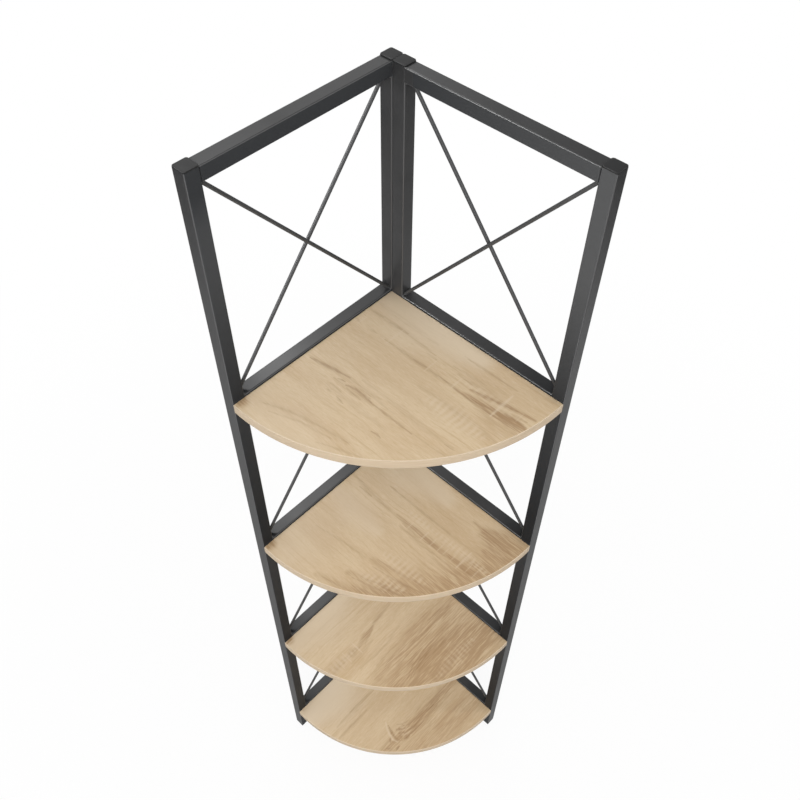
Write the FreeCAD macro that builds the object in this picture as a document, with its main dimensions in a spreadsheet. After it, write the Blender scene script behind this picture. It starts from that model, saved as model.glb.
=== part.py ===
import FreeCAD, Part
import os

import Sketcher
from FreeCAD import Placement, Rotation, Vector

# A tall corner shelf. Two braced side frames of square steel tube meet at the back corner and carry
# quarter-round boards between them. The right frame runs along +X, the left frame along -Y and Z is up.
# The origin is on the floor, in the middle of the footprint.

SHELF_COUNT = 4
BOLT_COUNT = 2
TOLERANCE = 1e-6
UP = Vector(0, 0, 1)
SKETCH_ORIGIN = (-1, 1)
ARC_GUESS = 0.7
TURN_TO_X = Rotation(Vector(0, 1, 0), 90)
HEAD_DOWN = Rotation(Vector(1, 0, 0), 180)
SWING_AXIS = {"left": Vector(1, 0, 0), "right": Vector(0, 1, 0)}
TAB_TURN = {"left": Rotation(UP, -90), "right": Rotation(UP, 180)}
FRAME_LENGTH = {"left": "size.left_frame_length", "right": "size.right_frame_length"}

# Driving dimensions in millimetres.
DIMENSIONS = {
    "tube_side": 20,
    "tube_wall": 1.2,
    "tube_corner": 2,
    "left_frame_length": 316,
    "right_frame_length": 307.5,
    "frame_height": 1522,
    "lowest_rail_top": 92,
    "shelf_pitch": 359,
    "rod_diameter": 5,
    "rod_clearance": 0.2,
    "shelf_thickness": 15,
    "shelf_gap": 0.5,
    "shelf_front_radius": 299,
    "edge_band_thickness": 1,
    "tab_length": 24,
    "tab_width": 20,
    "tab_thickness": 2,
    "tab_corner": 4,
    "tab_inset": 60,
    "tab_hole_inset": 11,
    "tab_hole_diameter": 4.5,
    "cap_thickness": 2,
    "cap_chamfer": 0.8,
    "glide_thickness": 3,
    "glide_inset": 0.6,
    "plug_depth": 12,
    "plug_wall": 1.5,
    "plug_clearance": 0.1,
    "bolt_inset": 260,
    "bolt_diameter": 6,
    "bolt_head_diameter": 12,
    "bolt_head_height": 2,
    "bolt_clearance": 0.4,
    "nut_thread_clearance": 0.1,
    "nut_flange_diameter": 13,
    "nut_flange_thickness": 0.5,
    "nut_barrel_diameter": 8.8,
    "nut_barrel_clearance": 0.2,
    "nut_length": 12,
}

document = FreeCAD.newDocument("corner_shelf_unit")
sheet = document.addObject("Spreadsheet::Sheet", "size")
for row, (alias, number) in enumerate(DIMENSIONS.items(), start=1):
    sheet.set(f"A{row}", alias)
    sheet.set(f"B{row}", str(number))
    sheet.setAlias(f"B{row}", alias)
document.recompute()

subparts = []

# Places and sizes that several pieces share, as expressions of the driving dimensions.
# The flanges of the rivet nuts lie in the seam between the two rear posts and set its width.
seam = "size.nut_flange_thickness"
right_reach = f"(size.tube_side + {seam} + size.right_frame_length)"
corner_x = f"((size.bolt_head_height - {right_reach}) / 2)"
corner_y = "(size.left_frame_length / 2)"
right_start = f"({corner_x} + size.tube_side + {seam})"
tube_middle = "size.tube_side / 2"
rail_tops = [f"(size.lowest_rail_top + {step} * size.shelf_pitch)" for step in range(SHELF_COUNT)]
rail_tops.append("size.frame_height")
left_side = "(size.left_frame_length - size.tube_side - size.shelf_gap)"
right_side = f"({right_reach} - size.tube_side - size.shelf_gap)"
skirt_side = "(size.tube_side - 2 * size.tube_wall - 2 * size.plug_clearance)"
bolt_spacing = f"(size.frame_height - 2 * size.bolt_inset) / {BOLT_COUNT - 1}"
bolt_heights = [f"(size.bolt_inset + {step} * {bolt_spacing})" for step in range(BOLT_COUNT)]


def value(expression):
    return float(sheet.evalExpression(expression))


def frame_point(side, distance, depth):
    """Plan position at a distance from the back of a frame and a depth from its wall side."""
    if side == "left":
        return f"{corner_x} + {depth}", f"{corner_y} - ({distance})"
    return f"{right_start} + {distance}", f"{corner_y} - ({depth})"


def rail_length(side):
    return f"({FRAME_LENGTH[side]} - 2 * size.tube_side)"


def tab_distances(side):
    """Places of the two tabs of a rail, measured from the back of its frame."""
    inset = "size.tube_side + size.tab_inset"
    return f"({inset})", f"({FRAME_LENGTH[side]} - ({inset}))"


def place(piece, x, y, z, turn=Rotation()):
    piece.Placement = Placement(Vector(), turn)
    for axis, expression in zip("xyz", (x, y, z)):
        piece.setExpression(f"Placement.Base.{axis}", expression)


def new_body(label):
    body = document.addObject("PartDesign::Body", label)
    body.Label = label
    return body


def new_sketch(body, role):
    sketch = body.newObject("Sketcher::SketchObject", "sketch")
    plane = next(item for item in body.Origin.OriginFeatures if item.Role == role)
    sketch.AttachmentSupport = [(plane, "")]
    sketch.MapMode = "FlatFace"
    return sketch


def drive(sketch, name, constraint, expression):
    index = sketch.addConstraint(constraint)
    sketch.renameConstraint(index, name)
    sketch.setExpression(f"Constraints.{name}", expression)


def pin_point(sketch, item, vertex, x, y):
    """Holds one point of a sketch at driven distances from the sketch's origin."""
    across = Sketcher.Constraint("DistanceX", -1, 1, item, vertex, value(x))
    along = Sketcher.Constraint("DistanceY", -1, 1, item, vertex, value(y))
    drive(sketch, f"across_{item}_{vertex}", across, x)
    drive(sketch, f"along_{item}_{vertex}", along, y)


def add_polygon(sketch, points):
    first = sketch.GeometryCount
    corners = [Vector(value(x), value(y), 0) for x, y in points]
    count = len(corners)
    for index in range(count):
        sketch.addGeometry(Part.LineSegment(corners[index], corners[(index + 1) % count]), False)
    for index, (x, y) in enumerate(points):
        following = first + (index + 1) % count
        sketch.addConstraint(Sketcher.Constraint("Coincident", first + index, 2, following, 1))
        pin_point(sketch, first + index, 1, x, y)


def add_square(sketch, side):
    half = f"({side}) / 2"
    add_polygon(sketch, [(f"-{half}", f"-{half}"), (half, f"-{half}"), (half, half), (f"-{half}", half)])


def add_circle(sketch, x, y, diameter):
    centre = Vector(value(x), value(y), 0)
    item = sketch.addGeometry(Part.Circle(centre, UP, value(diameter) / 2), False)
    pin_point(sketch, item, 3, x, y)
    drive(sketch, f"diameter_{item}", Sketcher.Constraint("Diameter", item, value(diameter)), diameter)


def pad(body, sketch, length, downward=False):
    feature = body.newObject("PartDesign::Pad", "pad")
    feature.Profile = sketch
    feature.setExpression("Length", length)
    feature.Reversed = downward
    document.recompute()
    return feature


def pocket(body, sketch, depth, side_type):
    before = body.Shape.Volume
    feature = body.newObject("PartDesign::Pocket", "pocket")
    feature.Profile = sketch
    feature.setExpression("Length", depth)
    feature.SideType = side_type
    document.recompute()
    if body.Shape.Volume > before - TOLERANCE:
        raise RuntimeError(f"the pocket in {body.Label} cuts nothing")


def edge_names(shape, chosen):
    return [f"Edge{index}" for index, edge in enumerate(shape.Edges, start=1) if chosen(edge)]


def fillet(body, base, edges, radius):
    feature = body.newObject("PartDesign::Fillet", "fillet")
    feature.Base = (base, edges)
    feature.setExpression("Radius", radius)
    document.recompute()


def chamfer(body, base, edges, width):
    feature = body.newObject("PartDesign::Chamfer", "chamfer")
    feature.Base = (base, edges)
    feature.setExpression("Size", width)
    document.recompute()
    return feature


def is_upright(edge):
    ends = [vertex.Point for vertex in edge.Vertexes]
    return len(ends) == 2 and (ends[0] - ends[1]).cross(UP).Length < TOLERANCE


def corner_edges(feature, half_side):
    """Upright edges at the corners of a square of the given half side about the body's own axis."""
    def chosen(edge):
        point = edge.Vertexes[0].Point
        misses = (abs(abs(point.x) - half_side), abs(abs(point.y) - half_side))
        return is_upright(edge) and max(misses) < TOLERANCE
    return edge_names(feature.Shape, chosen)


def level_edges(feature, level):
    """Edges that lie wholly in the level plane at the given height."""
    return edge_names(
        feature.Shape,
        lambda edge: all(abs(vertex.Point.z - level) < TOLERANCE for vertex in edge.Vertexes),
    )


def revolved_body(label, profile):
    body = new_body(label)
    sketch = new_sketch(body, "XZ_Plane")
    add_polygon(sketch, profile)
    feature = body.newObject("PartDesign::Revolution", "revolution")
    feature.Profile = sketch
    feature.ReferenceAxis = (sketch, ["V_Axis"])
    document.recompute()
    return body


def group(label, pieces):
    compound = document.addObject("Part::Compound", label)
    compound.Label = label
    compound.Links = pieces
    subparts.append(compound)


def tube(label, length):
    """A length of square tube with rounded outer corners, standing on its own origin."""
    body = new_body(label)
    sketch = new_sketch(body, "XY_Plane")
    add_square(sketch, "size.tube_side")
    add_square(sketch, "size.tube_side - 2 * size.tube_wall")
    extrusion = pad(body, sketch, length)
    fillet(body, extrusion, corner_edges(extrusion, value(tube_middle)), "size.tube_corner")
    subparts.append(body)
    return body


def post(side, position, distance):
    body = tube(f"{side}_{position}_post", "size.frame_height - size.glide_thickness")
    place(body, *frame_point(side, distance, tube_middle), "size.glide_thickness")
    return body


def drill_post(body, diameter, side_type):
    """Bolt holes across a rear post, through the wall towards -X or through both walls."""
    sketch = new_sketch(body, "YZ_Plane")
    for height in bolt_heights:
        add_circle(sketch, "0", f"{height} - size.glide_thickness", diameter)
    pocket(body, sketch, "2 * size.tube_side", side_type)


def rail(label, side, top):
    body = tube(label, rail_length(side))
    start = frame_point(side, "size.tube_side", tube_middle)
    place(body, *start, f"{top} - {tube_middle}", Rotation(SWING_AXIS[side], 90))


def bay_block(side, number, height):
    """The clear space of one bay, which trims the rods to its corners."""
    block = document.addObject("Part::Box", f"{side}_bay_{number}")
    along, through = {"left": ("Width", "Length"), "right": ("Length", "Width")}[side]
    block.setExpression(along, rail_length(side))
    block.setExpression(through, "size.tube_side")
    block.setExpression("Height", height)
    nearest = {
        "left": frame_point("left", f"size.tube_side + {rail_length('left')}", "0"),
        "right": frame_point("right", "size.tube_side", "size.tube_side"),
    }
    place(block, *nearest[side], rail_tops[number - 1])
    return block


def brace_rod(label, side, number, start, lean, depth, height, block):
    """A straight rod on the diagonal of a bay, cut to seat in two opposite corners of it."""
    rod = document.addObject("Part::Cylinder", f"{label}_stock")
    rod.setExpression("Radius", "size.rod_diameter / 2")
    rod.setExpression("Height", f"sqrt({rail_length(side)} ^ 2 + {height} ^ 2)")
    place(rod, *frame_point(side, start, depth), rail_tops[number - 1], Rotation(SWING_AXIS[side], 1))
    rod.setExpression("Placement.Rotation.Angle", f"{lean} * atan2({rail_length(side)}; {height})")
    trimmed = document.addObject("Part::Common", label)
    trimmed.Label = label
    trimmed.Base = rod
    trimmed.Tool = block
    subparts.append(trimmed)


def brace_cross(side, number):
    """Two crossing rods, one just in front of the other, in the bay above a shelf rail."""
    height = f"({rail_tops[number]} - size.tube_side - {rail_tops[number - 1]})"
    spread = "(size.rod_diameter + size.rod_clearance) / 2"
    block = bay_block(side, number, height)
    front_corner = f"size.tube_side + {rail_length(side)}"
    rising = (f"{side}_brace_rising_{number}", "size.tube_side", 1, f"{tube_middle} + {spread}")
    falling = (f"{side}_brace_falling_{number}", front_corner, -1, f"{tube_middle} - {spread}")
    for label, start, lean, depth in (rising, falling):
        brace_rod(label, side, number, start, lean, depth, height, block)


def add_front_arcs(sketch):
    """The band's outer and inner arcs, on one centre, between the two straight sides of a board."""
    left_tip = Vector(0, -value(left_side), 0)
    right_tip = Vector(value(right_side), 0, 0)
    bulge = (left_tip + right_tip) * ARC_GUESS
    inset = value("size.edge_band_thickness")
    outer = sketch.addGeometry(Part.Arc(left_tip, bulge, right_tip), False)
    core_left = left_tip + Vector(0, inset, 0)
    core_bulge = bulge * (1 - inset / bulge.Length)
    core_right = right_tip - Vector(inset, 0, 0)
    inner = sketch.addGeometry(Part.Arc(core_left, core_bulge, core_right), False)
    for arc in (outer, inner):
        sketch.addConstraint(Sketcher.Constraint("PointOnObject", arc, 1, -2))
        sketch.addConstraint(Sketcher.Constraint("PointOnObject", arc, 2, -1))
    sketch.addConstraint(Sketcher.Constraint("Coincident", outer, 3, inner, 3))
    drive(sketch, "left_side", Sketcher.Constraint("DistanceY", outer, 1, -1, 1, -left_tip.y), left_side)
    drive(sketch, "right_side", Sketcher.Constraint("DistanceX", -1, 1, outer, 2, right_tip.x), right_side)
    radius = value("size.shelf_front_radius")
    drive(sketch, "front_radius", Sketcher.Constraint("Radius", outer, radius), "size.shelf_front_radius")
    inner_radius = "size.shelf_front_radius - size.edge_band_thickness"
    drive(sketch, "core_radius", Sketcher.Constraint("Radius", inner, radius - inset), inner_radius)
    return outer, inner


def join_points(sketch, first, second):
    """A straight edge between two points of a sketch, each given as an item and its vertex."""
    line = sketch.addGeometry(Part.LineSegment(sketch.getPoint(*first), sketch.getPoint(*second)), False)
    sketch.addConstraint(Sketcher.Constraint("Coincident", line, 1, *first))
    sketch.addConstraint(Sketcher.Constraint("Coincident", line, 2, *second))


def place_on_tabs(piece, number):
    top_of_tab = f"{rail_tops[number - 1]} - size.tube_side + size.tab_thickness"
    offset = "(size.tube_side + size.shelf_gap)"
    place(piece, f"{corner_x} + {offset}", f"{corner_y} - {offset}", top_of_tab)
    subparts.append(piece)


def shelf_board(number):
    """A quarter-round board, cut back by the thickness of the band round its front."""
    body = new_body(f"shelf_board_{number}")
    outline = new_sketch(body, "XY_Plane")
    outer, inner = add_front_arcs(outline)
    outline.toggleConstruction(outer)
    join_points(outline, (inner, 2), SKETCH_ORIGIN)
    join_points(outline, SKETCH_ORIGIN, (inner, 1))
    pad(body, outline, "size.shelf_thickness")
    place_on_tabs(body, number)


def edge_band(number):
    """The strip glued round the curved front of a board."""
    body = new_body(f"shelf_edge_band_{number}")
    outline = new_sketch(body, "XY_Plane")
    outer, inner = add_front_arcs(outline)
    join_points(outline, (inner, 1), (outer, 1))
    join_points(outline, (outer, 2), (inner, 2))
    pad(body, outline, "size.shelf_thickness")
    place_on_tabs(body, number)


def shelf_tab(side, distance, top):
    """A drilled steel tab, one edge on the inner face of a shelf rail and flush with its underside."""
    body = new_body("shelf_tab")
    outline = new_sketch(body, "XY_Plane")
    half = "size.tab_length / 2"
    add_polygon(
        outline,
        [(f"-{half}", "0"), (half, "0"), (half, "size.tab_width"), (f"-{half}", "size.tab_width")],
    )
    add_circle(outline, "0", "size.tab_hole_inset", "size.tab_hole_diameter")
    plate = pad(body, outline, "size.tab_thickness")
    reach = value("size.tab_width")
    tips = edge_names(plate.Shape, lambda edge: is_upright(edge) and edge.Vertexes[0].Y > reach - TOLERANCE)
    chamfer(body, plate, tips, "size.tab_corner")
    place(body, *frame_point(side, distance, "size.tube_side"), f"{top} - size.tube_side", TAB_TURN[side])
    return body


def end_plug(label, cover_side, thickness):
    """A moulded plug for a tube end: a cover over the end and a hollow skirt inside it."""
    body = new_body(label)
    cover_outline = new_sketch(body, "XY_Plane")
    add_square(cover_outline, cover_side)
    pad(body, cover_outline, thickness)
    skirt_outline = new_sketch(body, "XY_Plane")
    add_square(skirt_outline, skirt_side)
    add_square(skirt_outline, f"{skirt_side} - 2 * size.plug_wall")
    skirt = pad(body, skirt_outline, "size.plug_depth", downward=True)
    subparts.append(body)
    return body, skirt


def post_cap(label):
    """A plug with a broken top edge; flats on its corners touch the rounds of the tube at their middles."""
    body, skirt = end_plug(label, "size.tube_side", "size.cap_thickness")
    corner_flat = "size.tube_corner * (2 - sqrt(2))"
    clipped = chamfer(body, skirt, corner_edges(skirt, value(tube_middle)), corner_flat)
    chamfer(body, clipped, level_edges(clipped, value("size.cap_thickness")), "size.cap_chamfer")
    return body


def post_glide(label):
    """A plug whose cover is the foot, set in a little from the faces of the tube."""
    body, _ = end_plug(label, "size.tube_side - 2 * size.glide_inset", "size.glide_thickness")
    return body


def frame_bolt(height):
    """A low flat-head bolt from the wall side of the left rear post into the right one."""
    head = "size.bolt_head_diameter / 2"
    shank = "size.bolt_diameter / 2"
    tip = "size.bolt_head_height + size.tube_side + size.nut_length"
    profile = [
        ("0", "0"),
        (head, "0"),
        (head, "size.bolt_head_height"),
        (shank, "size.bolt_head_height"),
        (shank, tip),
        ("0", tip),
    ]
    body = revolved_body("frame_bolt", profile)
    place(body, f"{corner_x} - size.bolt_head_height", f"{corner_y} - {tube_middle}", height, TURN_TO_X)
    return body


def rivet_nut(height):
    """A rivet nut: flange in the seam, threaded barrel through the wall of the right rear post."""
    bore = "(size.bolt_diameter + size.nut_thread_clearance) / 2"
    flange = "size.nut_flange_diameter / 2"
    barrel = "size.nut_barrel_diameter / 2"
    profile = [
        (bore, "0"),
        (flange, "0"),
        (flange, "size.nut_flange_thickness"),
        (barrel, "size.nut_flange_thickness"),
        (barrel, "size.nut_length"),
        (bore, "size.nut_length"),
    ]
    body = revolved_body("rivet_nut", profile)
    place(body, f"{corner_x} + size.tube_side", f"{corner_y} - {tube_middle}", height, TURN_TO_X)
    return body


# Side frames: two posts, a top rail, the shelf rails and a cross of rods in every bay.
rear_posts = {}
for side in FRAME_LENGTH:
    rear_posts[side] = post(side, "rear", tube_middle)
    post(side, "front", f"{FRAME_LENGTH[side]} - {tube_middle}")
    rail(f"{side}_top_rail", side, rail_tops[-1])
    for number in range(1, SHELF_COUNT + 1):
        rail(f"{side}_shelf_rail_{number}", side, rail_tops[number - 1])
        brace_cross(side, number)

# Rear posts drilled for the bolts: both walls of the left one, the near wall of the right one.
drill_post(rear_posts["left"], "size.bolt_diameter + size.bolt_clearance", "Symmetric")
drill_post(rear_posts["right"], "size.nut_barrel_diameter + size.nut_barrel_clearance", "One side")
group("frame_bolts", [frame_bolt(height) for height in bolt_heights])
group("frame_rivet_nuts", [rivet_nut(height) for height in bolt_heights])

# Caps in the post tops and glides in the post feet.
for side, length in FRAME_LENGTH.items():
    for position, distance in (("rear", tube_middle), ("front", f"{length} - {tube_middle}")):
        plan = frame_point(side, distance, tube_middle)
        place(post_cap(f"{side}_{position}_cap"), *plan, "size.frame_height")
        place(post_glide(f"{side}_{position}_glide"), *plan, "size.glide_thickness", HEAD_DOWN)

# Boards with their edge bands, each on four tabs.
for number in range(1, SHELF_COUNT + 1):
    shelf_board(number)
    edge_band(number)
    top = rail_tops[number - 1]
    seats = [(side, distance, top) for side in FRAME_LENGTH for distance in tab_distances(side)]
    group(f"shelf_tabs_{number}", [shelf_tab(*seat) for seat in seats])

document.recompute()
for item in document.Objects:
    if "Invalid" in item.State or "Error" in item.State:
        raise RuntimeError(f"{item.Label} is {item.State}")
for piece in subparts:
    if piece.Shape.isNull() or not piece.Shape.isValid():
        raise RuntimeError(f"{piece.Label} has no sound shape")

os.makedirs("parts", exist_ok=True)
for piece in subparts:
    piece.Shape.exportStep(f"parts/{piece.Label}.step")
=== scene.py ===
import math

import bmesh
import bpy
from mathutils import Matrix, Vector


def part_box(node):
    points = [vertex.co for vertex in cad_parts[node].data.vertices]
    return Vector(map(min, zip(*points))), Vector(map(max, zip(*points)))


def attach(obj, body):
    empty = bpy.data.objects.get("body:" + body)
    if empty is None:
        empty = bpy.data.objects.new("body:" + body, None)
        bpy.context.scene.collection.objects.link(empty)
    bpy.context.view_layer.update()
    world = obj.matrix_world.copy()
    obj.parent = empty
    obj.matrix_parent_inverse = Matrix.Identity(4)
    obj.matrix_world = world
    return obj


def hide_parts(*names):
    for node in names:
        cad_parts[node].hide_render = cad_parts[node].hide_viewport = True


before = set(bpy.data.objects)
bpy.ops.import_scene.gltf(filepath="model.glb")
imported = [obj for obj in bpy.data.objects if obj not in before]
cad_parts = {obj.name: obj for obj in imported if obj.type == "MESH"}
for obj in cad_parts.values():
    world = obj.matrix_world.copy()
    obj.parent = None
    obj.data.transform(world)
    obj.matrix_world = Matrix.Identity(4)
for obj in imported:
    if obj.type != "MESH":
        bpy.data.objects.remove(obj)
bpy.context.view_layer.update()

# Side frames. Each is a welded ladder of 20 mm square steel tube with a cross of 5 mm rod in every bay,
# coated with satin black powder after welding. The coat has a fine tooth and a slight peel and is more even
# on the rods. Its tube corners carry a painted highlight over a thinner coat, and its room side carries
# painted shade and painted light, with less sheen.
SIDES = ("left", "right")
ENDS = ("rear", "front")
SHELVES = (1, 2, 3, 4)
COAT_DARK = (0.0240, 0.0240, 0.0246, 1)
COAT_LIGHT = (0.0355, 0.0355, 0.0363, 1)
# painted highlight on the tube corners, partly a thinner coat
COAT_ARRIS_HIGHLIGHT = (0.075, 0.075, 0.076, 1)
# painted shade and painted light for the room side of the frames
COAT_PAINTED_SHADE = (0.0140, 0.0157, 0.0180, 1)
COAT_PAINTED_LIGHT = (0.0735, 0.0745, 0.0760, 1)
COAT_ROUGHNESS = (0.30, 0.36)
COAT_SHEEN = 0.40
# sheen where the room side's shade is painted
SHADE_SHEEN = 0.04
ROD_DARK = (0.0320, 0.0325, 0.0335, 1)
ROD_LIGHT = (0.0510, 0.0517, 0.0532, 1)
ROD_ROUGHNESS = (0.46, 0.50)
ROD_SHEEN = 0.6
ROD_RELIEF = 0.1
NOISE_MIDDLE = (0.3, 0.7)
COAT_DRIFT = (14, 4)
PEEL = (520, 2)
PEEL_STRENGTH = 0.02
PEEL_DEPTH = 0.0002
TOOTH = (2400, 3)
TOOTH_STRENGTH = 0.06
TOOTH_DEPTH = 0.00004
CORNER_TURN = (0.97, 0.80)
SQUARE_ON = 0.9
LEFT_SHARE = 0.6

# Places on the frames: the left one lies below an x, the right one above a y, and bays and rails have heights
LEFT_FRAME = -0.14
RIGHT_FRAME = 0.135
REAR_CORNER = -0.11
FRONT_POST = 0.145
BAY_FLOOR = 0.092
BAY_PITCH = 0.359
TOP_BAY = 1.180
TOP_RAIL = 1.500

# Ramps of the painted light and shade over the frames: where each starts and ends, and from what to what it
# goes
BAY_LIGHT = (0.2, 1, 0, 0.32)
OPEN_LIGHT = (TOP_BAY - 0.08, TOP_BAY + 0.2, 0, 1)
LEFT_TOP_LOSS = (TOP_RAIL - 0.05, TOP_RAIL + 0.015, 0, 0.85)
RIGHT_RAIL_LOSS = (0.262, -0.11, 0, 0.70)
LEFT_END_SHADE = (-0.085, -0.138, 0, 0.55)
RIGHT_END_SHADE = (0.085, 0.138, 0, 0.55)
TOP_END_SHADE = (0.02, -0.138, 0, 0.28)


def feed(tree, made, inputs):
    """Sets each input of a node, or joins it to another node's output."""
    for name, source in inputs.items():
        if isinstance(source, bpy.types.Node):
            source = source.outputs[0]
        if isinstance(source, bpy.types.NodeSocket):
            tree.links.new(source, made.inputs[name])
        else:
            made.inputs[name].default_value = source


def node(tree, kind, inputs={}, **settings):
    """One node of a tree, with its settings made and its inputs fed."""
    made = tree.nodes.new(kind)
    for name, setting in settings.items():
        setattr(made, name, setting)
    feed(tree, made, inputs)
    return made


def finish(name):
    """A new material: its tree, its shader and the place on the piece that its patterns read."""
    material = bpy.data.materials.new(name)
    material.use_nodes = True
    tree = material.node_tree
    place = node(tree, "ShaderNodeTexCoord").outputs["Object"]
    return material, tree, tree.nodes["Principled BSDF"], place


def noise(tree, place, scale, detail):
    """A cloudy pattern at a place, from 0 to 1."""
    inputs = {"Vector": place, "Scale": scale, "Detail": detail}
    return node(tree, "ShaderNodeTexNoise", inputs).outputs["Fac"]


def ramp(tree, amount, start, end, low=0, high=1, easing="LINEAR"):
    """Carries an amount from between a start and an end to between a low and a high."""
    inputs = {"Value": amount, "From Min": start, "From Max": end, "To Min": low, "To Max": high}
    return node(tree, "ShaderNodeMapRange", inputs, interpolation_type=easing).outputs["Result"]


def spread(tree, amount, low=0, high=1):
    """Carries the middle of a noise to a range."""
    return ramp(tree, amount, *NOISE_MIDDLE, low, high)


def sums(tree, operation, first, second):
    """One sum on two amounts."""
    return node(tree, "ShaderNodeMath", {0: first, 1: second}, operation=operation).outputs[0]


def product(tree, first, *others):
    """Amounts multiplied one after another."""
    for other in others:
        first = sums(tree, "MULTIPLY", first, other)
    return first


def mixed(tree, amount, first, second):
    """One colour over another, by an amount from 0 to 1."""
    return node(tree, "ShaderNodeMix", {"Factor": amount, 6: first, 7: second}, data_type="RGBA").outputs[2]


def raised(tree, *layers):
    """The way a surface points with patterns raised on it, each over the one before."""
    normal = None
    for height, strength, depth in layers:
        inputs = {"Height": height, "Strength": strength, "Distance": depth}
        if normal:
            inputs["Normal"] = normal
        normal = node(tree, "ShaderNodeBump", inputs).outputs["Normal"]
    return normal


def painted_room_shade(tree, place, normal, tone):
    """Painted shade on the room side of both frames, and where the sheen is turned down: the painted tone is
    lighter up each bay and in the open one on top, and painted darker over the last of each rail top before
    the front post."""
    nx, ny, nz = node(tree, "ShaderNodeSeparateXYZ", {0: normal}).outputs
    x, y, z = node(tree, "ShaderNodeSeparateXYZ", {0: place}).outputs
    on_left = sums(tree, "LESS_THAN", x, LEFT_FRAME)
    on_right = sums(tree, "GREATER_THAN", y, RIGHT_FRAME)
    on_top = sums(tree, "GREATER_THAN", z, TOP_RAIL)
    left = product(tree, sums(tree, "GREATER_THAN", nx, SQUARE_ON), on_left)
    right = product(tree, sums(tree, "LESS_THAN", ny, -SQUARE_ON), on_right)
    right = product(tree, right, sums(tree, "GREATER_THAN", x, REAR_CORNER))
    inside = sums(tree, "MAXIMUM", left, right)
    rise = sums(tree, "DIVIDE", sums(tree, "SUBTRACT", z, BAY_FLOOR), BAY_PITCH)
    rise = node(tree, "ShaderNodeMath", {0: rise}, operation="FRACT")
    along = product(tree, right, on_top, sums(tree, "LESS_THAN", x, FRONT_POST))
    far = product(tree, along, ramp(tree, x, *RIGHT_RAIL_LOSS))
    high = product(tree, left, ramp(tree, z, *LEFT_TOP_LOSS))
    light = sums(tree, "SUBTRACT", ramp(tree, z, *OPEN_LIGHT), sums(tree, "MAXIMUM", far, high))
    light = product(tree, light, ramp(tree, right, 0, 1, LEFT_SHARE, 1))
    light = sums(tree, "MAXIMUM", ramp(tree, rise, *BAY_LIGHT), light)
    tone = mixed(tree, inside, tone, mixed(tree, light, COAT_PAINTED_SHADE, COAT_PAINTED_LIGHT))
    left_end = product(tree, ramp(tree, y, *LEFT_END_SHADE), on_left)
    right_end = product(tree, ramp(tree, x, *RIGHT_END_SHADE), on_right)
    ends = product(tree, sums(tree, "MAXIMUM", left_end, right_end), sums(tree, "LESS_THAN", z, TOP_BAY))
    top_end = product(tree, ramp(tree, y, *TOP_END_SHADE), on_left, on_top)
    ends = product(tree, sums(tree, "MAXIMUM", ends, top_end), sums(tree, "GREATER_THAN", nz, SQUARE_ON))
    return mixed(tree, ends, tone, COAT_PAINTED_SHADE), sums(tree, "MAXIMUM", inside, ends)


def powder_coat(name, dark, light, arris, roughness, sheen, relief=1, with_room_shade=False):
    """The satin coat. It drifts between two tones, and lies thin and smooth where a square tube turns its
    corner, painted paler there: partly the thinner coat, partly a painted highlight. On the tubes it also
    carries painted shade and painted light on the room side, with less sheen there."""
    coat, tree, shader, place = finish(name)
    drift = noise(tree, place, *COAT_DRIFT)
    peel = noise(tree, place, *PEEL)
    tooth = noise(tree, place, *TOOTH)
    normal = node(tree, "ShaderNodeNewGeometry").outputs["Normal"]
    turned = node(tree, "ShaderNodeVectorMath", {0: normal}, operation="ABSOLUTE")
    x, y, z = node(tree, "ShaderNodeSeparateXYZ", {0: turned}).outputs
    level = sums(tree, "MAXIMUM", sums(tree, "MAXIMUM", x, y), z)
    corner = ramp(tree, level, *CORNER_TURN)
    tone = mixed(tree, spread(tree, drift), dark, light)
    # corners painted paler: partly a thinner coat, partly a painted highlight
    tone = mixed(tree, corner, tone, arris)
    feed(tree, shader, {"Specular IOR Level": sheen})
    # painted shade and painted light on the room side, with less sheen there
    if with_room_shade:
        tone, shaded = painted_room_shade(tree, place, normal, tone)
        feed(tree, shader, {"Specular IOR Level": ramp(tree, shaded, 0, 1, sheen, SHADE_SHEEN)})
    flat = product(tree, sums(tree, "SUBTRACT", 1, corner), relief)
    fine = (tooth, product(tree, flat, TOOTH_STRENGTH), TOOTH_DEPTH)
    coarse = (peel, product(tree, flat, PEEL_STRENGTH), PEEL_DEPTH)
    feed(tree, shader, {"Base Color": tone, "Roughness": spread(tree, drift, *roughness),
                        "Normal": raised(tree, fine, coarse)})
    return coat


# the tubes carry the painted shade of the room side and the painted highlight of their corners
coat = powder_coat("black_powder_coat", COAT_DARK, COAT_LIGHT, COAT_ARRIS_HIGHLIGHT, COAT_ROUGHNESS, COAT_SHEEN,
                   with_room_shade=True)
rod_coat = powder_coat("rod_powder_coat", ROD_DARK, ROD_LIGHT, ROD_LIGHT, ROD_ROUGHNESS, ROD_SHEEN,
                       relief=ROD_RELIEF)
rails = [f"{side}_shelf_rail_{number}" for side in SIDES for number in SHELVES]
rails += [f"{side}_top_rail" for side in SIDES]
posts = [f"{side}_{end}_post" for side in SIDES for end in ENDS]
leans = [f"{side}_brace_{lean}" for side in SIDES for lean in ("rising", "falling")]
rods = [f"{lean}_{number}" for lean in leans for number in SHELVES]
tabs = [f"shelf_tabs_{number}" for number in SHELVES]
for name in rails + posts + tabs:
    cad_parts[name].material_slots[0].material = coat
for name in rods:
    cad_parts[name].material_slots[0].material = rod_coat

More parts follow.
